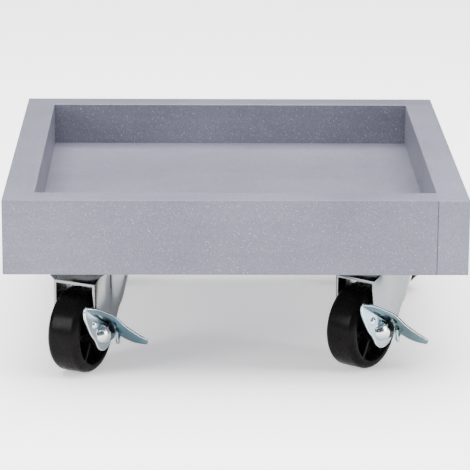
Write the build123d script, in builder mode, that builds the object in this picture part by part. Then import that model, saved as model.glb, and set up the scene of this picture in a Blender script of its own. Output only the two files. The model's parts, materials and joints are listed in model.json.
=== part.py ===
from build123d import *
from math import cos, hypot, radians, sin
import os

# Rolling plant caddy: a shallow square tray of four butt-jointed boards and a
# floor panel, on four swivel casters. The two front casters have side brakes.
# Frame: origin on the ground under the middle of the tray, +Z up, front at -Y.

# Tray
tray_side = 267.0
tray_height = 44.0
board_t = 18.0
panel_t = 18.0
edge_round = 0.5
seam_chamfer = 0.35
dowel_d = 6.0
dowel_length = 30.0
dowel_fit = 0.05
corner_dowel_inset = 12.0
panel_dowel_spacing = 60.0

# Caster places: distances of the swivel axes from the sides of the tray
left_inset = 51.0
right_inset = 47.0
front_inset = 51.0
rear_inset = 53.0
front_right_setback = 7.0

# Directions in which the four wheels trail at rest, in degrees from +X
front_left_heading = -116.0
front_right_heading = -127.0
rear_left_heading = -140.0
rear_right_heading = -22.0

# Caster, overall
caster_height = 68.5
trail = 18.0
sheet = 1.5
gap = 0.3

# Wheel
wheel_d = 50.0
wheel_width = 20.0
tread_round = 4.0
rim_depth = 5.0
rim_lip = 0.6
web_t = 6.0
hub_d = 16.0
rib_count = 6
rib_t = 1.8
rib_recess = 2.0
running_fit = 0.05

# Axle and sleeve
axle_d = 6.0
sleeve_d = 8.0
hex_flats = 10.0
head_height = 4.0
nut_height = 5.0
thread_end = 1.2

# Swivel plate, raceway and kingpin
plate_side = 56.0
plate_t = 2.0
plate_corner = 6.0
screw_spacing = 42.0
screw_slot = 7.0
screw_d = 4.0
screw_head_d = 8.0
screw_head_height = 2.2
screw_length = 14.0
dish_depth = 5.0
dish_r = 15.5
dish_flare = 4.5
race_gap = 1.6
kingpin_d = 8.0
kingpin_head_d = 12.0
kingpin_head_height = 2.4
ball_d = 3.0
ball_count = 12
ball_fit = 0.15
ball_pitch_r = 11.5
washer_t = 1.2
washer_d = 19.0

# Fork
leg_flat_end = 9.0
leg_front = 8.0
boss_r = 8.5
crown_r = 19.8
foot_r = 14.0
bulge_angle = 105.0
crown_drop = 4.1
crown_skirt = 6.0
crown_flat = 15.0
side_clearance = 2.0

# Side brake: a stamped lever that turns on the axle outside the fork
brake_washer_t = 0.6
lobe_r = 10.8
cam_length = 18.0
cam_width = 11.0
cam_sink = 1.0
cam_pin_d = 2.2
cam_pin_length = 8.4
cam_pin_fit = 0.3
brake_travel = 20.0
pip_d = 4.4
pip_x = 12.9
pip_z = 8.1

# Derived heights and half widths
half_side = tray_side / 2
tray_bottom = caster_height
tray_top = tray_bottom + tray_height
axle_z = wheel_d / 2
leg_in = wheel_width / 2 + side_clearance
leg_out = leg_in + sheet
plate_bottom = caster_height - plate_t
dish_bottom = plate_bottom - dish_depth
crown_top = dish_bottom - race_gap
crown_under = crown_top - sheet
front_edge_x = trail + leg_front
hex_r = hex_flats / 2 / cos(radians(30))
lever_mid = leg_out + brake_washer_t + gap + sheet / 2

# Inside of the dish: the same cone one sheet thickness further in
cone_slant = hypot(dish_flare, dish_depth)
dish_in_r = dish_r - plate_t * (cone_slant - dish_flare) / dish_depth
ball_z = crown_top + race_gap / 2


def finish(piece, name):
    piece.label = name
    export_step(piece, f"parts/{name}.step")


os.makedirs("parts", exist_ok=True)

# Tray block: the outer shape of the four boards together, edges eased
with BuildPart() as tray_block:
    with BuildSketch(Plane.XY.offset(tray_bottom)):
        RectangleRounded(tray_side, tray_side, edge_round)
        Rectangle(tray_side - 2 * board_t, tray_side - 2 * board_t, mode=Mode.SUBTRACT)
    extrude(amount=tray_height)
    fillet(tray_block.faces().sort_by(Axis.Z)[-1].edges(), edge_round)

# Corner dowels lie along each board's end grain, panel dowels under the floor edge
board_mid = half_side - board_t / 2
board_reach = half_side - board_t
dowel_heights = (tray_bottom + corner_dowel_inset, tray_top - corner_dowel_inset)
panel_mid_z = tray_bottom + panel_t / 2

quarter_turns = (0, 90, 180, 270)
board_names = ("front_board", "right_board", "back_board", "left_board")


def dowels_at_corner(radius, length):
    """Two pins through the seam where a board's end meets the next board."""
    with BuildPart() as pins:
        for height in dowel_heights:
            with BuildSketch(Plane(origin=(board_reach, -board_mid, height), z_dir=(1, 0, 0))):
                Circle(radius)
            extrude(amount=length / 2, both=True)
    return pins.part


def dowels_in_panel(radius, length):
    """Two pins through the seam between one board and the floor panel."""
    with BuildPart() as pins:
        for side in (-1, 1):
            start = (side * panel_dowel_spacing / 2, -board_reach, panel_mid_z)
            with BuildSketch(Plane(origin=start, z_dir=(0, 1, 0))):
                Circle(radius)
            extrude(amount=length / 2, both=True)
    return pins.part


dowel_r = dowel_d / 2
panel_dowel_length = dowel_length * 0.8
corner_bores = dowels_at_corner(dowel_r + dowel_fit, dowel_length + 2 * gap)
panel_bores = dowels_in_panel(dowel_r + dowel_fit, panel_dowel_length + 2 * gap)

# Each board covers the end of the board before it, so all four are alike
for turn, board_name in zip(quarter_turns, board_names):
    with BuildPart() as board:
        add(tray_block.part)
        with BuildSketch(Plane.XY.offset(tray_bottom)) as board_plan:
            with Locations(Rotation(0, 0, turn)):
                with Locations((-board_t / 2, -board_mid)):
                    Rectangle(tray_side - board_t, board_t)
        extrude(amount=tray_height, mode=Mode.INTERSECT)
        add(corner_bores, rotation=(0, 0, turn), mode=Mode.SUBTRACT)
        add(corner_bores, rotation=(0, 0, turn - 90), mode=Mode.SUBTRACT)
        add(panel_bores, rotation=(0, 0, turn), mode=Mode.SUBTRACT)
    finish(board.part, board_name)

corner_pair = dowels_at_corner(dowel_r, dowel_length)
panel_pair = dowels_in_panel(dowel_r, panel_dowel_length)

with BuildPart() as corner_dowels:
    for turn in quarter_turns:
        add(corner_pair, rotation=(0, 0, turn))
finish(corner_dowels.part, "corner_dowels")

with BuildPart() as floor_dowels:
    for turn in quarter_turns:
        add(panel_pair, rotation=(0, 0, turn))
finish(floor_dowels.part, "floor_dowels")

# Caster places on the tray, one for each corner
caster_places = {
    "front_left": (-half_side + left_inset, -half_side + front_inset, front_left_heading),
    "front_right": (
        half_side - right_inset,
        -half_side + front_inset + front_right_setback,
        front_right_heading,
    ),
    "rear_left": (-half_side + left_inset, half_side - rear_inset, rear_left_heading),
    "rear_right": (half_side - right_inset, half_side - rear_inset, rear_right_heading),
}

# Floor panel, flush with the underside, with pilot holes for the plate screws
pilot_depth = screw_length - plate_t + gap
with BuildPart() as floor_panel:
    with BuildSketch(Plane.XY.offset(tray_bottom)):
        Rectangle(tray_side - 2 * board_t, tray_side - 2 * board_t)
    extrude(amount=panel_t)
    for turn in quarter_turns:
        add(panel_bores, rotation=(0, 0, turn), mode=Mode.SUBTRACT)
    with BuildSketch(Plane.XY.offset(tray_bottom)):
        for x, y, heading in caster_places.values():
            with Locations((x, y)):
                with GridLocations(screw_spacing, screw_spacing, 2, 2):
                    Circle(screw_d / 2 + running_fit)
    extrude(amount=pilot_depth, mode=Mode.SUBTRACT)
finish(floor_panel.part, "floor_panel")

# The caster pieces below are made once in the caster's own frame: origin on the
# ground under the swivel axis, +X to the wheel's axle, +Y to the brake side.

# Top plate: flat sheet with four slots, dished down round the kingpin
with BuildPart() as top_plate:
    with BuildSketch(Plane.XY.offset(plate_bottom)):
        RectangleRounded(plate_side, plate_side, plate_corner)
        with GridLocations(screw_spacing, screw_spacing, 2, 2):
            SlotOverall(screw_slot, screw_d + 0.6, mode=Mode.SUBTRACT)
    extrude(amount=plate_t)
    with BuildSketch(Plane.XZ) as dish_outside:
        with BuildLine():
            Polyline(
                (0, plate_bottom + plate_t / 2),
                (dish_r + dish_flare, plate_bottom + plate_t / 2),
                (dish_r + dish_flare, plate_bottom),
                (dish_r, dish_bottom),
                (0, dish_bottom),
                close=True,
            )
        make_face()
    revolve(axis=Axis.Z)
    with BuildSketch(Plane.XZ) as dish_inside:
        with BuildLine():
            Polyline(
                (0, plate_bottom + plate_t),
                (dish_in_r + dish_flare, plate_bottom + plate_t),
                (dish_in_r, dish_bottom + plate_t),
                (0, dish_bottom + plate_t),
                close=True,
            )
        make_face()
    revolve(axis=Axis.Z, mode=Mode.SUBTRACT)
    with BuildSketch(Plane.XZ) as upper_race:
        with Locations((ball_pitch_r, ball_z)):
            Circle(ball_d / 2 + ball_fit)
    revolve(axis=Axis.Z, mode=Mode.SUBTRACT)
    with Locations((0, 0, dish_bottom)):
        Cylinder(
            kingpin_d / 2 + running_fit,
            plate_t,
            align=(Align.CENTER, Align.CENTER, Align.MIN),
            mode=Mode.SUBTRACT,
        )

# Plate screws: pan heads under the plate, tapered points up in the panel
with BuildPart() as plate_screws:
    with BuildSketch(Plane.XZ):
        with BuildLine():
            Polyline(
                (0, plate_bottom - screw_head_height),
                (screw_head_d / 2 - 1.2, plate_bottom - screw_head_height),
                (screw_head_d / 2, plate_bottom - 0.8),
                (screw_head_d / 2, plate_bottom),
                (screw_d / 2, plate_bottom),
                (screw_d / 2, plate_bottom + screw_length - screw_d),
                (0, plate_bottom + screw_length),
                close=True,
            )
        make_face()
    revolve(axis=Axis.Z)
    with Locations((0, 0, plate_bottom - screw_head_height)):
        for cross_turn in (0, 90):
            Box(3.6, 0.9, 2.4, rotation=(0, 0, cross_turn), mode=Mode.SUBTRACT)
with BuildPart() as plate_screw_set:
    with GridLocations(screw_spacing, screw_spacing, 2, 2):
        add(plate_screws.part)

# Kingpin: riveted over in the dish above and under the washer below
kingpin_bottom = crown_under - gap - washer_t - kingpin_head_height
with BuildPart() as kingpin:
    with BuildSketch(Plane.XY.offset(kingpin_bottom)):
        Circle(kingpin_head_d / 2)
    extrude(amount=kingpin_head_height)
    with BuildSketch(Plane.XY.offset(kingpin_bottom)):
        Circle(kingpin_d / 2)
    extrude(amount=dish_bottom + plate_t - kingpin_bottom)
    with BuildSketch(Plane.XY.offset(dish_bottom + plate_t)):
        Circle(kingpin_head_d / 2)
    extrude(amount=kingpin_head_height)
    head_rims = kingpin.edges().filter_by(GeomType.CIRCLE).sort_by(Axis.Z)
    fillet([head_rims[0], head_rims[-1]], kingpin_head_height * 0.6)

with BuildPart() as king_washer:
    with BuildSketch(Plane.XY.offset(kingpin_bottom + kingpin_head_height)):
        Circle(washer_d / 2)
        Circle(kingpin_d / 2 + running_fit, mode=Mode.SUBTRACT)
    extrude(amount=washer_t)
    chamfer(king_washer.edges().sort_by(Axis.Z)[:1], washer_t / 3)

with BuildPart() as swivel_balls:
    with Locations((0, 0, ball_z)):
        with PolarLocations(ball_pitch_r, ball_count):
            Sphere(ball_d / 2)


def fork_plan(height, bulge_r, inset, front_x):
    """Plan of the fork: flat cheeks in front, a round crown behind."""
    cheek = leg_out - inset
    radius = bulge_r - inset
    turn = radians(bulge_angle)
    hip = (radius * cos(turn), radius * sin(turn))
    with BuildSketch(Plane.XY.offset(height)) as plan:
        with BuildLine():
            Line((front_x, -cheek), (front_x, cheek))
            Line((front_x, cheek), (leg_flat_end, cheek))
            Spline(
                (leg_flat_end, cheek), hip, tangents=((-1, 0), (-sin(turn), cos(turn)))
            )
            ThreePointArc(hip, (-radius, 0), (hip[0], -hip[1]))
            Spline(
                (hip[0], -hip[1]),
                (leg_flat_end, -cheek),
                tangents=((sin(turn), cos(turn)), (1, 0)),
            )
            Line((leg_flat_end, -cheek), (front_x, -cheek))
        make_face()
    return plan.sketch


# Fork: pressed from one sheet, the cheeks drawn in from the round crown to the axle
shoulder_z = crown_top - crown_skirt
foot_z = axle_z + 2.0
leg_bottom = axle_z - boss_r


def fork_form(inset, front_x, top_z):
    """The solid inside one face of the sheet, from under the boss to top_z."""
    low = fork_plan(leg_bottom - 1, foot_r, inset, front_x)
    foot = fork_plan(foot_z, foot_r, inset, front_x)
    shoulder = fork_plan(shoulder_z, crown_r, inset, front_x)
    with BuildPart() as form:
        add(low)
        extrude(amount=foot_z - leg_bottom + 1)
        add(foot)
        add(shoulder)
        loft(ruled=True)
        add(shoulder)
        extrude(amount=top_z - shoulder_z)
    return form.part


inner_form = fork_form(sheet, front_edge_x + 2, crown_under)
outer_form = fork_form(0.0, front_edge_x, crown_top)

with BuildPart() as fork_hollow:
    add(inner_form)
    with BuildSketch(Plane.XZ) as ceiling:
        with BuildLine():
            Polyline(
                (-crown_r, leg_bottom - 2),
                (-crown_r, crown_under),
                (crown_flat - sheet / 4, crown_under),
                (front_edge_x, crown_under - crown_drop),
                (front_edge_x + 3, crown_under - crown_drop),
                (front_edge_x + 3, leg_bottom - 2),
                close=True,
            )
        make_face()
    extrude(amount=crown_r, both=True, mode=Mode.INTERSECT)

with BuildPart() as fork:
    add(outer_form)
    crown_rim = fork.faces().sort_by(Axis.Z)[-1].edges()
    fillet(crown_rim.filter_by(lambda e: e.center().X < front_edge_x - 0.01), sheet)
    with BuildSketch(Plane.XZ) as roof:
        with BuildLine():
            Polyline(
                (crown_flat, crown_top + 1),
                (crown_flat, crown_top),
                (front_edge_x, crown_top - crown_drop),
                (front_edge_x + 2, crown_top - crown_drop),
                (front_edge_x + 2, crown_top + 1),
                close=True,
            )
        make_face()
    extrude(amount=crown_r, both=True, mode=Mode.SUBTRACT)
    # Side outline: crown skirt behind, raked back edge, round boss at the axle
    with BuildSketch(Plane.XZ) as side:
        with BuildLine():
            skirt = Line((-crown_r - 1, crown_top + 1), (-crown_r - 1, shoulder_z))
            rake = Spline(
                skirt @ 1,
                (-12.5, shoulder_z - 0.6),
                (-9.0, 50.0),
                (-6.6, 45.0),
                (-3.0, 38.0),
                (-0.4, 30.0),
                tangents=((1, 0), (0.1, -1)),
            )
            under = Spline(
                rake @ 1, (trail - 1, axle_z - boss_r), tangents=((0.1, -1), (1, 0))
            )
            toe = ThreePointArc(
                under @ 1,
                (trail + boss_r * cos(radians(-40)), axle_z + boss_r * sin(radians(-40))),
                (front_edge_x, axle_z + 2.5),
            )
            front = Line(toe @ 1, (front_edge_x, crown_top + 1))
            Line(front @ 1, skirt @ 0)
        make_face()
    extrude(amount=crown_r + 2, both=True, mode=Mode.INTERSECT)
    add(fork_hollow.part, mode=Mode.SUBTRACT)
    with BuildSketch(Plane.XZ) as lower_race:
        with Locations((ball_pitch_r, ball_z)):
            Circle(ball_d / 2 + ball_fit)
    revolve(axis=Axis.Z, mode=Mode.SUBTRACT)
    Cylinder(kingpin_d / 2 + 2 * running_fit, 3 * crown_top, mode=Mode.SUBTRACT)
    with Locations((trail, 0, axle_z)):
        Cylinder(
            axle_d / 2 + running_fit, 4 * leg_out, rotation=(90, 0, 0), mode=Mode.SUBTRACT
        )

# Wheel: one moulding with a crowned tread, dished web, ribs and a long hub
hub_half = leg_in - gap
with BuildPart() as wheel:
    with BuildSketch(Plane.YZ) as wheel_half:
        with BuildLine():
            Polyline(
                (0, sleeve_d / 2 + running_fit),
                (hub_half, sleeve_d / 2 + running_fit),
                (hub_half, hub_d / 2 - 0.8),
                (hub_half - 0.8, hub_d / 2),
                (web_t / 2 + 0.8, hub_d / 2),
                (web_t / 2, hub_d / 2 + 1.6),
                (web_t / 2, wheel_d / 2 - rim_depth - 2.2),
                (wheel_width / 2 - 1.2, wheel_d / 2 - rim_depth - 0.6),
                (wheel_width / 2, wheel_d / 2 - rim_depth),
            )
            Line(
                (wheel_width / 2, wheel_d / 2 - rim_depth),
                (wheel_width / 2, wheel_d / 2 - tread_round),
            )
            ThreePointArc(
                (wheel_width / 2, wheel_d / 2 - tread_round),
                (
                    wheel_width / 2 - tread_round * (1 - cos(radians(45))),
                    wheel_d / 2 - tread_round * (1 - sin(radians(45))),
                ),
                (wheel_width / 2 - tread_round, wheel_d / 2),
            )
            Polyline(
                (wheel_width / 2 - tread_round, wheel_d / 2),
                (0, wheel_d / 2),
                (0, sleeve_d / 2 + running_fit),
            )
        make_face()
        mirror(about=Plane.YZ)
    revolve(axis=Axis.Y)
    rib_length = wheel_d / 2 - rim_depth - hub_d / 2 + 0.6
    with BuildSketch(Plane.XZ) as ribs:
        with PolarLocations(hub_d / 2 - 0.8, rib_count):
            Rectangle(rib_length, rib_t, align=(Align.MIN, Align.CENTER))
    extrude(amount=wheel_width / 2 - rib_recess, both=True)

# Sleeve: the tube that the wheel turns on, clamped between the cheeks
with BuildPart() as sleeve:
    with BuildSketch(Plane.XZ):
        Circle(sleeve_d / 2)
        Circle(axle_d / 2 + running_fit, mode=Mode.SUBTRACT)
    extrude(amount=leg_in, both=True)


def axle_bolt(end_y):
    """Hex-headed bolt across the fork, its head on the far side."""
    with BuildPart() as bolt:
        with BuildSketch(Plane.XZ.offset(leg_out)):
            RegularPolygon(hex_r, 6)
        extrude(amount=head_height)
        with BuildSketch(Plane.XZ.offset(leg_out)):
            Circle(axle_d / 2)
        extrude(amount=-(leg_out + end_y))
        chamfer(bolt.faces().sort_by(Axis.Y)[-1].edges(), thread_end / 2)
        chamfer(bolt.faces().sort_by(Axis.Y)[0].edges(), 0.5)
    return bolt.part


cam_pin_y = lever_mid + sheet / 2 + cam_pin_d / 2 + gap
brake_axle_end = cam_pin_y + cam_pin_d / 2 + 0.6
brake_bolt = axle_bolt(brake_axle_end)
plain_bolt = axle_bolt(leg_out + nut_height + thread_end)

with BuildPart() as brake_axle:
    add(brake_bolt)
    with Locations((0, cam_pin_y, 0)):
        Cylinder(cam_pin_d / 2 + running_fit / 2, 2 * axle_d, mode=Mode.SUBTRACT)

with BuildPart() as axle_nut:
    with BuildSketch(Plane.XZ.offset(-leg_out)):
        RegularPolygon(hex_r, 6)
        Circle(axle_d / 2 + running_fit, mode=Mode.SUBTRACT)
    extrude(amount=-nut_height * 0.7)
    with BuildSketch(Plane.XZ.offset(-leg_out - nut_height * 0.7)):
        Circle(hex_flats / 2 - 0.4)
        Circle(axle_d / 2 + running_fit, mode=Mode.SUBTRACT)
    extrude(amount=-nut_height * 0.3)

# Cam pin: crosses the end of the axle and holds the cams of the lever down
with BuildPart() as cam_pin:
    with Locations((0, cam_pin_y, 0)):
        Cylinder(cam_pin_d / 2, cam_pin_length)
    chamfer(cam_pin.edges().filter_by(GeomType.CIRCLE), cam_pin_d / 8)

with BuildPart() as brake_washer:
    with BuildSketch(Plane.XZ.offset(-leg_out)):
        Circle(axle_d)
        Circle(axle_d / 2 + 2 * running_fit, mode=Mode.SUBTRACT)
    extrude(amount=-brake_washer_t)

# Brake lever, in the axle's frame: x forward from the axle, z up, y outwards.
# The leaf stands beside the fork, its upper edge folds out into a lip, and the
# lip runs on into the pedal.
leaf_tip = (23.3, 20.3)
leaf_brow = (23.9, 17.0)
leaf_cheek = (21.8, 11.3)
leaf_waist = (17.5, 4.3)
leaf_notch = (12.9, -0.3)
fold_knee = (6.9, 10.2)
fold_end = (-5.0, 2.6)
lobe_front_angle = -22.0
lobe_back_angle = -160.0

# Lip and pedal stations: (x, y out from the leaf, z) of the top and bottom edge
lip_stations = (
    ((23.4, 0.8, 21.2), (23.2, 0.0, 20.2)),
    ((16.7, 4.0, 19.5), (15.5, 0.0, 15.3)),
    ((7.3, 4.6, 15.1), (7.0, 0.0, 10.3)),
    ((-3.0, 6.2, 9.5), (-5.0, 0.3, 3.0)),
    ((-9.5, 10.0, 2.4), (-14.0, 2.2, -5.8)),
    ((-15.5, 15.0, -3.6), (-18.0, 9.2, -10.3)),
    ((-20.5, 19.0, -8.0), (-20.5, 18.2, -10.4)),
)


def lip_middle(index):
    """Middle of the lip's width at one station."""
    top, bottom = lip_stations[max(0, min(index, len(lip_stations) - 1))]
    return (Vector(*top) + Vector(*bottom)) * 0.5


def lip_plane(index):
    """Section plane of the lip: x across its width, z along its run."""
    top, bottom = lip_stations[index]
    across = (Vector(*top) - Vector(*bottom)).normalized()
    run = lip_middle(index + 1) - lip_middle(index - 1)
    along = (run - across * run.dot(across)).normalized()
    return Plane(
        origin=lip_middle(index) + Vector(0, lever_mid, 0), x_dir=across, z_dir=along
    )


def on_lobe(angle):
    """Point of the round lobe about the axle."""
    return (lobe_r * cos(radians(angle)), lobe_r * sin(radians(angle)))


with BuildPart() as lever_blank:
    with BuildSketch(Plane.XZ.offset(-lever_mid)) as leaf:
        with BuildLine():
            brow = Spline(leaf_tip, leaf_brow, leaf_cheek, leaf_waist, leaf_notch)
            step = Line(brow @ 1, on_lobe(lobe_front_angle))
            lobe = ThreePointArc(step @ 1, on_lobe(-90), on_lobe(lobe_back_angle))
            Polyline(lobe @ 1, fold_end, fold_knee, leaf_tip)
        make_face()
    extrude(amount=sheet / 2, both=True)

with BuildPart() as lever_lip:
    for index in range(len(lip_stations)):
        top, bottom = lip_stations[index]
        with BuildSketch(lip_plane(index)):
            Rectangle((Vector(*top) - Vector(*bottom)).length, sheet)
    loft()

# Cams: one oval bulge, parted by the valley that the cam pin swings in
with BuildPart() as lever_cams:
    with BuildSketch(Plane.XZ.offset(-lever_mid + cam_sink)) as cam_half:
        Ellipse(cam_length / 2, cam_width / 2)
        Rectangle(cam_length, cam_width, align=(Align.CENTER, Align.MAX), mode=Mode.SUBTRACT)
    revolve(axis=Axis((0, lever_mid - cam_sink, 0), (1, 0, 0)))
    with Locations((0, lever_mid, 0)):
        Box(
            2 * cam_length,
            cam_length,
            2 * cam_length,
            align=(Align.CENTER, Align.MAX, Align.CENTER),
            mode=Mode.SUBTRACT,
        )

with BuildPart() as brake_lever:
    add(lever_blank.part)
    add(lever_lip.part)
    add(lever_cams.part)
    with Locations((pip_x, lever_mid + sheet / 2 - pip_d * 0.3, pip_z)):
        Sphere(pip_d / 2)
    with Locations((0, lever_mid - sheet / 2, 0)):
        with Locations((pip_x, 0, pip_z)):
            Box(
                pip_d + 1,
                pip_d,
                pip_d + 1,
                align=(Align.CENTER, Align.MAX, Align.CENTER),
                mode=Mode.SUBTRACT,
            )
    for share in (0.0, 0.25, 0.5, 0.75, 1.0):
        with Locations((0, lever_mid + sheet / 2, 0)):
            Box(
                cam_pin_d + 2 * cam_pin_fit,
                cam_length,
                2 * cam_length,
                rotation=(0, share * brake_travel, 0),
                align=(Align.CENTER, Align.MIN, Align.CENTER),
                mode=Mode.SUBTRACT,
            )
    Cylinder(
        axle_d / 2 + 2 * running_fit, 4 * lever_mid, rotation=(90, 0, 0), mode=Mode.SUBTRACT
    )

# Every piece of a caster set out at its place on the tray
fixed_pieces = {
    "top_plate": top_plate.part,
    "plate_screws": plate_screw_set.part,
    "kingpin": kingpin.part,
    "king_washer": king_washer.part,
}
crown_pieces = {"swivel_balls": swivel_balls.part, "fork": fork.part}
axle_pieces = {"wheel": wheel.part, "axle_sleeve": sleeve.part}
brake_pieces = {
    "axle_bolt": brake_axle.part,
    "brake_washer": brake_washer.part,
    "cam_pin": cam_pin.part,
    "brake_lever": brake_lever.part,
}
plain_pieces = {"axle_bolt": plain_bolt, "axle_nut": axle_nut.part}

for place_name, (x, y, heading) in caster_places.items():
    plate_place = Location((x, y, 0))
    swivel_place = Location((x, y, 0), (0, 0, heading))
    axle_place = swivel_place * Location((trail, 0, axle_z))
    side_pieces = brake_pieces if place_name.startswith("front") else plain_pieces
    for pieces, place in (
        (fixed_pieces, plate_place),
        (crown_pieces, swivel_place),
        (axle_pieces, axle_place),
        (side_pieces, axle_place),
    ):
        for piece_name, piece in pieces.items():
            with BuildPart() as placed:
                with Locations(place):
                    add(piece)
            finish(placed.part, f"{piece_name}_{place_name}")
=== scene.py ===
import json
from math import cos, pi, radians, sin

import bpy
from mathutils import Matrix, Vector

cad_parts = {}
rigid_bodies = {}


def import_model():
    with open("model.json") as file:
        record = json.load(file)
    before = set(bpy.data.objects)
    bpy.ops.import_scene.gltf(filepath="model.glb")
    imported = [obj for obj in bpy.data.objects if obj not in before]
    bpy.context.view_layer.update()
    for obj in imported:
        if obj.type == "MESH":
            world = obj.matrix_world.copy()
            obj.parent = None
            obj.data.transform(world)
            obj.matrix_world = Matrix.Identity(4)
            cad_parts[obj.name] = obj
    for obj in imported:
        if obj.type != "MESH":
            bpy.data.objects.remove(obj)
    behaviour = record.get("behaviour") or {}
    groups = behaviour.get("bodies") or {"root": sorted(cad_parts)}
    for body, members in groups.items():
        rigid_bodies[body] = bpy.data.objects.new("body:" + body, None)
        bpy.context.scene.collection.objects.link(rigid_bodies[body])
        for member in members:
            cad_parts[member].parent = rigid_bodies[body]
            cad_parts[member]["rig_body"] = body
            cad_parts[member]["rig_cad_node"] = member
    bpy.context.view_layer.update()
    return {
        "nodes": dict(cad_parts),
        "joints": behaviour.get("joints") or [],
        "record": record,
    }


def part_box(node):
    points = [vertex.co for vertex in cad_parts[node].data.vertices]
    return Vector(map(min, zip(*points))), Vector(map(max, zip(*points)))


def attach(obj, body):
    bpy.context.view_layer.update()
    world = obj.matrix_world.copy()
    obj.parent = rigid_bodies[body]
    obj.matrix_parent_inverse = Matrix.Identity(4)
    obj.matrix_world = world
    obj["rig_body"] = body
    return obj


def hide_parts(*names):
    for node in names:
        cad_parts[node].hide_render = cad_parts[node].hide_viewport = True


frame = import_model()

MM = 0.001

# Camera fitted to the photograph: place, aim and lens
CAMERA_PLACE = (-26.3 * MM, -1591.7 * MM, 494.9 * MM)
CAMERA_AIM = (radians(74.564), radians(-0.370), radians(-0.906))
SENSOR_WIDTH = 36.0
CAMERA_LENS = 203.2

# Copies of the solids: points nearer than this are merged, faces flatter than this made one,
# and edges sharper than the last angle are broken
MERGE_REACH = 0.002 * MM
FLAT_ANGLE = radians(0.4)
COPY_SHARP_ANGLE = radians(32.0)

record = frame["record"]
places = ("front_left", "front_right", "rear_left", "rear_right")
brake_places = ("front_left", "front_right")


def deselect():
    """Nothing selected, nothing active."""
    bpy.ops.object.select_all(action="DESELECT")
    bpy.context.view_layer.objects.active = None


# Node helpers for the materials

def new_material(name, color, metallic, roughness):
    """A material with its shader's own constants set, with its node tree and shader."""
    material = bpy.data.materials.new(name)
    material.use_nodes = True
    shader = material.node_tree.nodes["Principled BSDF"]
    shader.inputs["Base Color"].default_value = (*color, 1.0)
    shader.inputs["Metallic"].default_value = metallic
    shader.inputs["Roughness"].default_value = roughness
    return material, material.node_tree, shader


def object_coordinates(tree, stretch=(1.0, 1.0, 1.0)):
    """Object coordinates through a Mapping node that stretches the pattern."""
    coordinates = tree.nodes.new("ShaderNodeTexCoord")
    mapping = tree.nodes.new("ShaderNodeMapping")
    mapping.inputs["Scale"].default_value = stretch
    tree.links.new(coordinates.outputs["Object"], mapping.inputs["Vector"])
    return mapping.outputs["Vector"]


def noise(tree, vector, per_metre, detail=3.0, roughness=0.55):
    """Noise texture value at so many waves per metre."""
    texture = tree.nodes.new("ShaderNodeTexNoise")
    texture.inputs["Scale"].default_value = per_metre
    texture.inputs["Detail"].default_value = detail
    texture.inputs["Roughness"].default_value = roughness
    tree.links.new(vector, texture.inputs["Vector"])
    return texture.outputs["Fac"]


def ramp(tree, value, *stops):
    """Color ramp over a value, stops given as (position, color)."""
    node = tree.nodes.new("ShaderNodeValToRGB")
    elements = node.color_ramp.elements
    while len(elements) < len(stops):
        elements.new(0.5)
    for element, (position, color) in zip(elements, stops):
        element.position = position
        element.color = (*color, 1.0)
    tree.links.new(value, node.inputs["Fac"])
    return node.outputs["Color"]


def spread(tree, value, low, high, out_low, out_high):
    """Map Range of a value, clamped."""
    node = tree.nodes.new("ShaderNodeMapRange")
    node.inputs["From Min"].default_value = low
    node.inputs["From Max"].default_value = high
    node.inputs["To Min"].default_value = out_low
    node.inputs["To Max"].default_value = out_high
    tree.links.new(value, node.inputs["Value"])
    return node.outputs["Result"]


def mixed(tree, factor, first, second, blend="MIX"):
    """Mix two colors; each is a socket or a plain color, the factor a socket or a number."""
    node = tree.nodes.new("ShaderNodeMix")
    node.data_type = "RGBA"
    node.blend_type = blend
    for socket_index, value in ((0, factor), (6, first), (7, second)):
        socket = node.inputs[socket_index]
        if isinstance(value, bpy.types.NodeSocket):
            tree.links.new(value, socket)
        elif isinstance(value, tuple):
            socket.default_value = (*value, 1.0)
        else:
            socket.default_value = value
    return node.outputs[2]


def bumped(tree, shader, *layers):
    """Chain of bumps into the shader's normal, layers given as (height, distance, strength)."""
    normal = None
    for height, distance, strength in layers:
        bump = tree.nodes.new("ShaderNodeBump")
        bump.inputs["Distance"].default_value = distance
        bump.inputs["Strength"].default_value = strength
        tree.links.new(height, bump.inputs["Height"])
        if normal is not None:
            tree.links.new(normal, bump.inputs["Normal"])
        normal = bump.outputs["Normal"]
    tree.links.new(normal, shader.inputs["Normal"])


def silver_paint(name, along, tone=(0.142, 0.143, 0.182)):
    """Silver-grey metallic paint, finely speckled with flakes and painted glints, over boards with
    a faint grain.
    """
    material, tree, shader = new_material(name, tone, 0.35, 0.48)
    plain = object_coordinates(tree)
    grain_way = object_coordinates(tree, along)
    cloud = noise(tree, plain, 14.0, 4.0)
    grain = noise(tree, grain_way, 260.0, 4.0, 0.6)
    flake = noise(tree, plain, 1500.0, 2.0, 0.7)
    spark = noise(tree, plain, 1500.0, 1.0, 0.5)
    darker = tuple(0.86 * channel for channel in tone)
    lighter = tuple(min(1.0, 1.10 * channel) for channel in tone)
    ground = ramp(tree, cloud, (0.3, darker), (0.7, lighter))
    grain_shade = ramp(tree, grain, (0.35, (0.80, 0.80, 0.80)), (0.65, (1.0, 1.0, 1.0)))
    grained = mixed(tree, 0.28, ground, grain_shade, "MULTIPLY")
    flake_shade = ramp(tree, flake, (0.35, (0.62, 0.62, 0.64)), (0.66, (1.25, 1.25, 1.28)))
    flaked = mixed(tree, 0.55, grained, flake_shade, "MULTIPLY")
    # Near-white spots where the flakes would catch the lamps: painted glints
    glint = spread(tree, spark, 0.68, 0.78, 0.0, 0.4)
    sparked = mixed(tree, glint, flaked, (0.86, 0.86, 0.90))
    tree.links.new(sparked, shader.inputs["Base Color"])
    tree.links.new(spread(tree, flake, 0.3, 0.7, 0.40, 0.60), shader.inputs["Roughness"])
    bumped(tree, shader, (flake, 0.00012, 0.5), (grain, 0.0002, 0.25))
    return material


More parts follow.
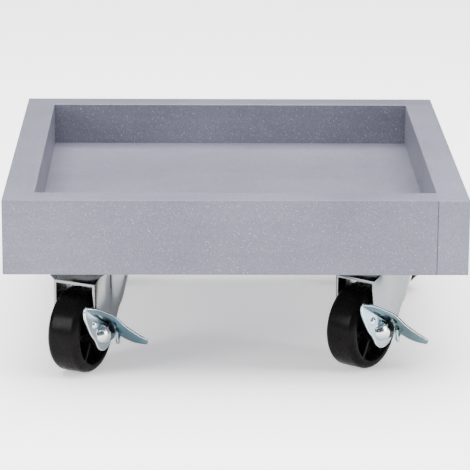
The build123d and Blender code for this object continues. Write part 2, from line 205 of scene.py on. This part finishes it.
def zinc_plate(name, tone=(0.18, 0.19, 0.20), roughness=0.16):
    """Bright zinc plate with a faint blue and straw bloom."""
    material, tree, shader = new_material(name, tone, 1.0, roughness)
    plain = object_coordinates(tree)
    bloom = noise(tree, plain, 45.0, 3.0)
    mottle = noise(tree, plain, 420.0, 3.0)
    fine = noise(tree, plain, 2600.0, 2.0)
    blue = tuple(t * s for t, s in zip(tone, (0.86, 0.97, 1.06)))
    straw = tuple(t * s for t, s in zip(tone, (1.04, 1.02, 0.93)))
    tinted = ramp(tree, bloom, (0.32, blue), (0.5, tone), (0.68, straw))
    mottle_shade = ramp(tree, mottle, (0.3, (0.84, 0.86, 0.87)), (0.6, (1.0, 1.0, 1.0)))
    worn = mixed(tree, 0.5, tinted, mottle_shade, "MULTIPLY")
    tree.links.new(worn, shader.inputs["Base Color"])
    dulled = spread(tree, mottle, 0.3, 0.7, roughness - 0.02, roughness + 0.06)
    tree.links.new(dulled, shader.inputs["Roughness"])
    bumped(tree, shader, (fine, 0.00001, 0.1), (mottle, 0.00001, 0.05))
    return material


def black_plastic(name):
    """Glossy black moulded plastic with faint flow marks and dust."""
    material, tree, shader = new_material(name, (0.012, 0.011, 0.012), 0.0, 0.22)
    shader.inputs["Specular IOR Level"].default_value = 0.035
    plain = object_coordinates(tree)
    flow = noise(tree, plain, 60.0, 3.0)
    fine = noise(tree, plain, 1800.0, 2.0)
    scuff = noise(tree, plain, 500.0, 4.0, 0.7)
    body = ramp(tree, flow, (0.3, (0.003, 0.003, 0.003)), (0.7, (0.007, 0.006, 0.006)))
    dust = spread(tree, scuff, 0.68, 0.85, 0.0, 0.2)
    dusty = mixed(tree, dust, body, (0.03, 0.029, 0.028))
    tree.links.new(dusty, shader.inputs["Base Color"])
    tree.links.new(spread(tree, scuff, 0.35, 0.75, 0.20, 0.36), shader.inputs["Roughness"])
    bumped(tree, shader, (fine, 0.00002, 0.4), (flow, 0.0003, 0.2))
    return material


def beech(name):
    """Plain beech with small flecks."""
    material, tree, shader = new_material(name, (0.55, 0.38, 0.22), 0.0, 0.6)
    grain = noise(tree, object_coordinates(tree, (0.1, 1.0, 1.0)), 900.0, 3.0)
    wood = ramp(tree, grain, (0.3, (0.42, 0.27, 0.15)), (0.7, (0.62, 0.45, 0.28)))
    tree.links.new(wood, shader.inputs["Base Color"])
    bumped(tree, shader, (grain, 0.0001, 0.4))
    return material


paint_across = silver_paint("silver_paint_across", (0.06, 1.0, 1.0))
paint_along = silver_paint("silver_paint_along", (1.0, 0.06, 1.0))
paint_end = silver_paint("silver_paint_end", (1.0, 0.06, 1.0), (0.158, 0.159, 0.200))
zinc = zinc_plate("zinc_sheet")
zinc_lever = zinc_plate("zinc_lever", (0.34, 0.42, 0.46), 0.18)
# Darker, bluer copy of the zinc for the folded lip: the blue is the plating's own, the darkness
# painted shade
zinc_lip_shade = zinc_plate("zinc_lip_shade", (0.12, 0.19, 0.22), 0.2)
# Near-white copy of the zinc on the lever's broken sheet edges: a painted highlight
zinc_edge_highlight = zinc_plate("zinc_edge_highlight", (0.86, 0.88, 0.90), 0.3)
# Light copy of the zinc for the pressed domes and the pip: a painted highlight
zinc_painted_highlight = zinc_plate("zinc_painted_highlight", (0.55, 0.60, 0.63), 0.2)
# Dark copy of the zinc for the slot walls, cross pin, oval eye and bolt shafts: painted shade
zinc_shaded = zinc_plate("zinc_shaded", (0.10, 0.11, 0.12), 0.3)
zinc_turned = zinc_plate("zinc_turned", (0.40, 0.41, 0.43), 0.26)
ball_steel = zinc_plate("ball_steel", (0.80, 0.80, 0.82), 0.12)
plastic = black_plastic("black_wheel")
dowel_wood = beech("beech_dowel")

body_of = {node: body for body, nodes in record["behaviour"]["bodies"].items() for node in nodes}
joint_of = {joint["name"]: joint for joint in frame["joints"]}


def dress(node, material):
    """Give a node of the frame its material."""
    piece = frame["nodes"][node]
    piece.data.materials.clear()
    piece.data.materials.append(material)


def dressed_copy(node, material, edge_width=0.0):
    """A finished copy of a node: merged, its sharp edges broken, shaded smooth, in its place."""
    deselect()
    source = frame["nodes"][node]
    source.select_set(True)
    bpy.context.view_layer.objects.active = source
    bpy.ops.object.duplicate()
    piece = bpy.context.object
    bpy.ops.object.parent_clear(type="CLEAR_KEEP_TRANSFORM")
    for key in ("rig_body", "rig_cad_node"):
        if key in piece:
            del piece[key]
    piece.name = f"{node}_finished"
    piece.data.name = piece.name
    bpy.ops.object.mode_set(mode="EDIT")
    bpy.ops.mesh.select_all(action="SELECT")
    bpy.ops.mesh.customdata_custom_splitnormals_clear()
    bpy.ops.mesh.remove_doubles(threshold=MERGE_REACH)
    bpy.ops.mesh.dissolve_limited(angle_limit=FLAT_ANGLE, use_dissolve_boundaries=False)
    bpy.ops.object.mode_set(mode="OBJECT")
    if edge_width:
        bevel = piece.modifiers.new("broken_edges", "BEVEL")
        bevel.width = edge_width
        bevel.segments = 2
        bevel.limit_method = "ANGLE"
        bevel.angle_limit = COPY_SHARP_ANGLE
        bevel.use_clamp_overlap = True
        bpy.ops.object.modifier_apply(modifier=bevel.name)
    bpy.ops.object.shade_smooth_by_angle(angle=COPY_SHARP_ANGLE)
    piece.data.materials.clear()
    piece.data.materials.append(material)
    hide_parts(node)
    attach(piece, body_of[node])
    return piece


def select_edges(piece, keep):
    """In edit mode, select the edges that a test accepts."""
    bpy.ops.mesh.select_mode(type="EDGE")
    bpy.ops.mesh.select_all(action="DESELECT")
    bpy.ops.object.mode_set(mode="OBJECT")
    for edge in piece.data.edges:
        edge.select = keep(edge)
    bpy.ops.object.mode_set(mode="EDIT")


# Boards: each has the outer edge of its butted end eased, which shows as a seam.
# After the paint come the corner of the board's box, low or high in x and in y, that the end is at
SEAM_EASE = 0.55 * MM
SEAM_REACH = 0.1 * MM
board_paints = {
    "front_board": (paint_across, 1, 0),
    "right_board": (paint_end, 1, 1),
    "back_board": (paint_across, 0, 1),
    "left_board": (paint_along, 0, 0),
}
for node, (material, end_x, end_y) in board_paints.items():
    board = dressed_copy(node, material)
    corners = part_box(node)
    seam_x, seam_y = corners[end_x].x, corners[end_y].y
    bpy.ops.object.mode_set(mode="EDIT")

    def on_seam(edge):
        """True for the upright outer edge at the board's butted end."""
        ends = [board.data.vertices[index].co for index in edge.vertices]
        return all(
            abs(end.x - seam_x) < SEAM_REACH and abs(end.y - seam_y) < SEAM_REACH for end in ends
        )

    select_edges(board, on_seam)
    bpy.ops.mesh.bevel(offset=SEAM_EASE, segments=1)
    bpy.ops.object.mode_set(mode="OBJECT")
dress("floor_panel", paint_across)
for node in ("corner_dowels", "floor_dowels"):
    dress(node, dowel_wood)

# Material of each caster piece, and how far its edges are broken, in millimetres
EDGE_BREAKS = {
    "top_plate": (zinc, 0.30),
    "plate_screws": (zinc_turned, 0.12),
    "kingpin": (zinc_turned, 0.10),
    "king_washer": (zinc_turned, 0.15),
    "swivel_balls": (ball_steel, 0.0),
    "fork": (zinc, 0.25),
    "axle_sleeve": (zinc_turned, 0.15),
    "axle_bolt": (zinc_turned, 0.20),
    "axle_nut": (zinc_turned, 0.20),
    "brake_washer": (zinc_turned, 0.10),
    # Cross pin in the dark zinc: painted shade in the cams' slot
    "cam_pin": (zinc_shaded, 0.10),
    "wheel": (plastic, 0.25),
}
for place in places:
    for part_name, (material, edge_width) in EDGE_BREAKS.items():
        node = f"{part_name}_{place}"
        remade = part_name == "axle_bolt" and place in brake_places
        if node in frame["nodes"] and not remade:
            dressed_copy(node, material, edge_width * MM)


# The brake's pieces are drawn in the axle's own frame, in millimetres:
# x forward from the axle, y outwards past the fork, z up
def axle_frame(place):
    """Matrix from the axle's frame, in millimetres, to the caddy's frame."""
    swivel = Vector(joint_of[f"{place}_swivel"]["pos_m"])
    axle = Vector(joint_of[f"{place}_roll"]["pos_m"])
    forward = Vector((axle.x - swivel.x, axle.y - swivel.y, 0)).normalized()
    outward = Vector((-forward.y, forward.x, 0))
    turn = Matrix((forward, outward, Vector((0, 0, 1)))).transposed().to_4x4()
    return Matrix.Translation(axle) @ turn @ Matrix.Scale(MM, 4)


SHEET = 1.5
LEVER_MID = 15.15
LEAF_FACE = LEVER_MID + SHEET / 2
LOBE_R = 10.8
BORE_R = 3.3
SLOT_HALF = 1.4
SLOT_LEAN = 20.0
CAM_HALF_LENGTH = 9.6
CAM_HALF_RISE = 6.4
FRONT_CAM_HEIGHT = 5.8
REAR_CAM_HEIGHT = 6.8
PIP_R = 2.9
PIP_SINK = 1.2
TAB_Y = LEVER_MID + 3.6
LIP_SHEET = 0.9 * SHEET
LIP_DISH = 0.35
BRAKE_SMOOTH_ANGLE = radians(38)

# Outlines as (x, z): the leaf's front edge from its tip down, its fold, and the stop
leaf_front = (
    (23.3, 20.3),
    (24.1, 18.2),
    (23.4, 14.6),
    (21.8, 11.3),
    (19.8, 7.8),
    (17.5, 4.3),
    (15.2, 1.2),
    (12.9, -0.6),
)
leaf_fold = ((-5.6, 2.6), (6.9, 10.2))
tab_outline = (
    (-7.4, -1.2),
    (-7.8, -7.2),
    (-9.2, -9.2),
    (-10.8, -9.4),
    (-11.6, -5.0),
    (-10.8, -1.8),
)

# The lip from tip to pedal: its upper and lower edge at each station,
# as (x, y past the middle of the lever's sheet, z)
lip_stations = (
    ((23.4, 0.8, 21.2), (23.2, 0.0, 20.2)),
    ((16.7, 4.0, 19.5), (15.5, 0.0, 15.3)),
    ((7.3, 4.6, 15.1), (7.0, 0.0, 10.3)),
    ((-3.0, 6.2, 9.5), (-5.0, 0.3, 3.0)),
    ((-9.5, 10.0, 2.2), (-13.2, 3.4, -4.6)),
    ((-15.5, 15.0, -3.8), (-17.4, 10.0, -9.0)),
    ((-20.6, 19.2, -8.2), (-20.4, 17.4, -10.6)),
)


def drawn_outline(name, points, height):
    """A flat face through (x, z) points at a height y, drawn by extruding one vertex."""
    deselect()
    bpy.ops.mesh.primitive_plane_add(size=1.0)
    piece = bpy.context.object
    piece.name = name
    bpy.ops.object.mode_set(mode="EDIT")
    bpy.ops.mesh.select_mode(type="VERT")
    bpy.ops.mesh.merge(type="CENTER")
    bpy.ops.transform.translate(value=(points[0][0], height, points[0][1]))
    for (x0, z0), (x1, z1) in zip(points, points[1:]):
        step = (x1 - x0, 0, z1 - z0)
        bpy.ops.mesh.extrude_vertices_move(TRANSFORM_OT_translate={"value": step})
    bpy.ops.mesh.select_all(action="SELECT")
    bpy.ops.mesh.edge_face_add()
    bpy.ops.object.mode_set(mode="OBJECT")
    return piece


def face_outwards():
    """In edit mode, turn every face of the mesh outwards."""
    bpy.ops.mesh.select_all(action="SELECT")
    bpy.ops.mesh.normals_make_consistent(inside=False)


def thicken(depth):
    """Give the flat active piece a depth along y."""
    bpy.ops.object.mode_set(mode="EDIT")
    bpy.ops.mesh.select_all(action="SELECT")
    bpy.ops.mesh.extrude_region_move(TRANSFORM_OT_translate={"value": (0, depth, 0)})
    face_outwards()
    bpy.ops.object.mode_set(mode="OBJECT")


def apply_modifiers(piece):
    """Apply every modifier of the active piece in turn."""
    for modifier in list(piece.modifiers):
        bpy.ops.object.modifier_apply(modifier=modifier.name)


def break_edges(piece, width, segments=2, sharp=40.0, edge_slot=-1):
    """Round the sharp edges of the active piece, in their own material if a slot is given."""
    bevel = piece.modifiers.new("broken_edges", "BEVEL")
    bevel.width = width
    bevel.segments = segments
    bevel.limit_method = "ANGLE"
    bevel.angle_limit = radians(sharp)
    bevel.material = edge_slot
    apply_modifiers(piece)


def cut_out(piece, cutter, material_mode="INDEX"):
    """Cut the cutter's shape out of a piece and take the cutter away."""
    deselect()
    piece.select_set(True)
    bpy.context.view_layer.objects.active = piece
    cut = piece.modifiers.new("cut", "BOOLEAN")
    cut.operation = "DIFFERENCE"
    cut.solver = "EXACT"
    cut.object = cutter
    cut.material_mode = material_mode
    apply_modifiers(piece)
    bpy.data.objects.remove(cutter)


def wear(piece, *materials):
    """Give a piece its materials, the first one on every face."""
    piece.data.materials.clear()
    for material in materials:
        piece.data.materials.append(material)


def joined(name, pieces):
    """Several pieces made one mesh."""
    deselect()
    for piece in pieces:
        piece.select_set(True)
    bpy.context.view_layer.objects.active = pieces[0]
    bpy.ops.object.join()
    whole = bpy.context.object
    whole.name = name
    whole.data.name = name
    return whole


def smooth_point(values, share):
    """Point of a smooth curve through vectors, share running from 0 to 1."""
    span = share * (len(values) - 1)
    index = min(int(span), len(values) - 2)
    t = span - index
    before = values[max(index - 1, 0)]
    start, end = values[index], values[index + 1]
    after = values[min(index + 2, len(values) - 1)]
    return 0.5 * (
        2 * start
        + (end - before) * t
        + (2 * before - 5 * start + 4 * end - after) * t * t
        + (3 * start - before - 3 * end + after) * t * t * t
    )


def lever_leaf():
    """The flat leaf with its round lobe and bore about the axle."""
    lobe = [
        (LOBE_R * cos(radians(angle)), LOBE_R * sin(radians(angle)))
        for angle in range(-24, -170, -12)
    ]
    leaf = drawn_outline("leaf", [*leaf_front, *lobe, *leaf_fold], LEAF_FACE)
    thicken(-SHEET)
    # Leaf in the lever's zinc; its broken edges, in slot 1, take the painted-highlight zinc
    wear(leaf, zinc_lever, zinc_edge_highlight)
    bpy.ops.mesh.primitive_cylinder_add(
        vertices=64, radius=BORE_R, depth=8.0, location=(0, LEVER_MID, 0), rotation=(pi / 2, 0, 0)
    )
    cutter = bpy.context.object
    bpy.ops.object.transform_apply()
    cut_out(leaf, cutter)
    break_edges(leaf, 0.35, 2, 50.0, 1)
    return leaf


def lever_lip():
    """The folded lip that runs on into the pedal, a curved strip of the sheet."""
    along, across = 42, 6
    deselect()
    bpy.ops.mesh.primitive_grid_add(x_subdivisions=along, y_subdivisions=across, size=2.0)
    lip = bpy.context.object
    tops = [Vector(top) for top, bottom in lip_stations]
    bottoms = [Vector(bottom) for top, bottom in lip_stations]
    for vertex in lip.data.vertices:
        run = (vertex.co.x + 1) / 2
        rise = (vertex.co.y + 1) / 2
        top, bottom = smooth_point(tops, run), smooth_point(bottoms, run)
        point = bottom.lerp(top, rise)
        dish = sin(pi * rise) * min(1.0, 3 * run) * LIP_DISH
        vertex.co = point + Vector((0, LEVER_MID + dish, -dish))
    sheet = lip.modifiers.new("sheet", "SOLIDIFY")
    sheet.thickness = LIP_SHEET
    sheet.offset = 0.0
    apply_modifiers(lip)
    bpy.ops.object.mode_set(mode="EDIT")
    face_outwards()
    bpy.ops.object.mode_set(mode="OBJECT")
    # Lip darker than the leaf in painted shade, its broken edges in the painted-highlight zinc
    wear(lip, zinc_lip_shade, zinc_edge_highlight)
    break_edges(lip, 0.5, 3, 60.0, 1)
    return lip


def lever_cam(side):
    """Front (1) or rear (-1) half of the pressed dome, cut off at the slot of the cross pin."""
    height = FRONT_CAM_HEIGHT if side > 0 else REAR_CAM_HEIGHT
    deselect()
    bpy.ops.mesh.primitive_uv_sphere_add(segments=64, ring_count=40, radius=1.0)
    cam = bpy.context.object
    # Domes in the painted-highlight zinc; the slot walls cut into them get the dark zinc, painted
    # shade
    wear(cam, zinc_painted_highlight, zinc_shaded)
    cam.active_material_index = 1
    bpy.ops.object.mode_set(mode="EDIT")
    bpy.ops.mesh.select_all(action="SELECT")
    bpy.ops.transform.resize(value=(CAM_HALF_LENGTH, height, CAM_HALF_RISE))
    bpy.ops.transform.translate(value=(0, LEVER_MID, 0))
    cuts = [0.0, SLOT_LEAN]
    if side < 0:
        cuts.append(-SLOT_LEAN)
    for lean in cuts:
        slope = Vector((cos(radians(lean)), 0, -sin(radians(lean))))
        bpy.ops.mesh.select_all(action="SELECT")
        bpy.ops.mesh.bisect(
            plane_co=slope * side * SLOT_HALF,
            plane_no=slope * side,
            use_fill=True,
            clear_inner=True,
        )
        # The cut faces, the slot walls, take slot 1, the dark zinc: painted shade
        bpy.ops.object.material_slot_assign()
    bpy.ops.mesh.select_all(action="SELECT")
    bpy.ops.mesh.bisect(
        plane_co=(0, LEVER_MID, 0), plane_no=(0, 1, 0), use_fill=True, clear_inner=True
    )
    face_outwards()
    bpy.ops.object.mode_set(mode="OBJECT")
    if side < 0:
        press_eye(cam)
    break_edges(cam, 0.3, 3, 50.0, 0)
    return cam


def press_eye(cam):
    """Sink the oval eye into the rear dome, its walls in painted shade."""
    deselect()
    bpy.ops.mesh.primitive_uv_sphere_add(segments=32, ring_count=16, radius=1.0)
    cutter = bpy.context.object
    bpy.ops.object.mode_set(mode="EDIT")
    bpy.ops.mesh.select_all(action="SELECT")
    bpy.ops.transform.resize(value=(2.0, 1.6, 2.4))
    bpy.ops.transform.translate(value=(-4.6, LEVER_MID + 0.82 * REAR_CAM_HEIGHT, 2.2))
    bpy.ops.object.mode_set(mode="OBJECT")
    wear(cutter, zinc_shaded)
    cut_out(cam, cutter, "TRANSFER")


def lever_pip():
    """The small pressed pip on the leaf."""
    deselect()
    bpy.ops.mesh.primitive_uv_sphere_add(
        segments=32, ring_count=16, radius=PIP_R, location=(12.6, LEAF_FACE - PIP_SINK, 8.3)
    )
    pip = bpy.context.object
    bpy.ops.object.transform_apply(location=True, rotation=False, scale=False)
    bpy.ops.object.mode_set(mode="EDIT")
    bpy.ops.mesh.select_all(action="SELECT")
    bpy.ops.mesh.bisect(
        plane_co=(0, LEVER_MID, 0), plane_no=(0, 1, 0), use_fill=True, clear_inner=True
    )
    bpy.ops.object.mode_set(mode="OBJECT")
    # Pip in the painted-highlight zinc
    wear(pip, zinc_painted_highlight)
    return pip


def lever_tab():
    """The short stop that hangs under the root of the pedal."""
    tab = drawn_outline("tab", tab_outline, TAB_Y)
    thicken(SHEET)
    wear(tab, zinc_lever)
    break_edges(tab, 0.3, 2, 50.0)
    return tab


def finished(piece, matrix, node, body):
    """Put a piece in its place, standing for its node."""
    piece.data.transform(matrix)
    deselect()
    piece.select_set(True)
    bpy.context.view_layer.objects.active = piece
    bpy.ops.object.shade_smooth_by_angle(angle=BRAKE_SMOOTH_ANGLE)
    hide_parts(node)
    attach(piece, body)


# Front axle bolt: its head's corner radius, height and middle,
# then radius, near end and far end of its shank and of its tail
HEAD_R = 5.77
HEAD_HEIGHT = 4.0
HEAD_Y = -15.5
SHANK = (3.0, -14.0, 15.0)
TAIL = (1.2, 14.5, 18.2)


def brake_lever_piece():
    """The whole stamped lever, in the axle's frame."""
    parts = [lever_leaf(), lever_lip(), lever_cam(1), lever_cam(-1), lever_pip(), lever_tab()]
    return joined("brake_lever_model", parts)


def brake_bolt_piece():
    """The bolt with its hexagon head on the far side and its thin tail between the cams."""
    deselect()
    bpy.ops.mesh.primitive_cylinder_add(
        vertices=6,
        radius=HEAD_R,
        depth=HEAD_HEIGHT,
        location=(0, HEAD_Y, 0),
        rotation=(pi / 2, pi / 6, 0),
    )
    head = bpy.context.object
    bpy.ops.object.transform_apply()
    wear(head, zinc_turned)
    break_edges(head, 0.45, 3, 30.0)
    shafts = [head]
    for radius, low, high in (SHANK, TAIL):
        deselect()
        bpy.ops.mesh.primitive_cylinder_add(
            vertices=64,
            radius=radius,
            depth=high - low,
            location=(0, (low + high) / 2, 0),
            rotation=(pi / 2, 0, 0),
        )
        shaft = bpy.context.object
        bpy.ops.object.transform_apply()
        # Shank and tail in the dark zinc: painted shade inside the fork and between the cams
        wear(shaft, zinc_shaded)
        break_edges(shaft, 0.25, 2, 60.0)
        shafts.append(shaft)
    return joined("brake_bolt_model", shafts)


lever_model = brake_lever_piece()
bolt_model = brake_bolt_piece()
for place in brake_places:
    for model, part_name in ((lever_model, "brake_lever"), (bolt_model, "axle_bolt")):
        piece = model.copy()
        piece.data = model.data.copy()
        piece.name = f"{part_name}_{place}_finished"
        bpy.context.scene.collection.objects.link(piece)
        node = f"{part_name}_{place}"
        finished(piece, axle_frame(place), node, body_of[node])
for model in (lever_model, bolt_model):
    bpy.data.objects.remove(model)

# Floor: a large pale sheet that the caddy stands on
deselect()
bpy.ops.mesh.primitive_plane_add(size=8.0, location=(0.0, 0.0, 0.0))
floor = bpy.context.object
floor.name = "studio_floor"
floor_material, _, floor_shader = new_material("studio_floor", (0.93, 0.93, 0.93), 0.0, 0.7)
floor_shader.inputs["Emission Color"].default_value = (1.0, 1.0, 1.0, 1.0)
floor_shader.inputs["Emission Strength"].default_value = 0.6
floor.data.materials.append(floor_material)

# World: a dim even room
world = bpy.data.worlds.new("studio_room")
world.use_nodes = True
world.node_tree.nodes["Background"].inputs["Color"].default_value = (1.0, 1.0, 1.0, 1.0)
world.node_tree.nodes["Background"].inputs["Strength"].default_value = 0.08
bpy.context.scene.world = world


def softbox(name, place, aim_at, size, watts):
    """A rectangular studio light aimed at a point of the caddy."""
    light = bpy.data.lights.new(name, "AREA")
    light.shape = "RECTANGLE"
    light.size, light.size_y = size
    light.energy = watts
    lamp = bpy.data.objects.new(name, light)
    bpy.context.scene.collection.objects.link(lamp)
    lamp.location = place
    direction = Vector(aim_at) - Vector(place)
    lamp.rotation_euler = direction.to_track_quat("-Z", "Y").to_euler()
    return lamp


softbox("overhead", (0.0, 0.1, 1.7), (0, 0, 0), (2.6, 2.4), 205.0)
softbox("window_left", (-1.3, -0.9, 0.7), (0, 0, 0.05), (0.45, 0.7), 24.0)
softbox("strip_right", (1.2, -0.5, 0.45), (0, 0, 0.05), (0.2, 0.9), 14.0)
softbox("front_fill", (0.3, -2.2, 1.0), (0, -0.1, 0.05), (1.0, 0.8), 1.0)

# Camera
camera = bpy.data.cameras.new("photo_view")
camera.lens = CAMERA_LENS
camera.sensor_width = SENSOR_WIDTH
camera.clip_end = 50.0
viewer = bpy.data.objects.new("photo_view", camera)
bpy.context.scene.collection.objects.link(viewer)
viewer.location = CAMERA_PLACE
viewer.rotation_euler = CAMERA_AIM
bpy.context.scene.camera = viewer
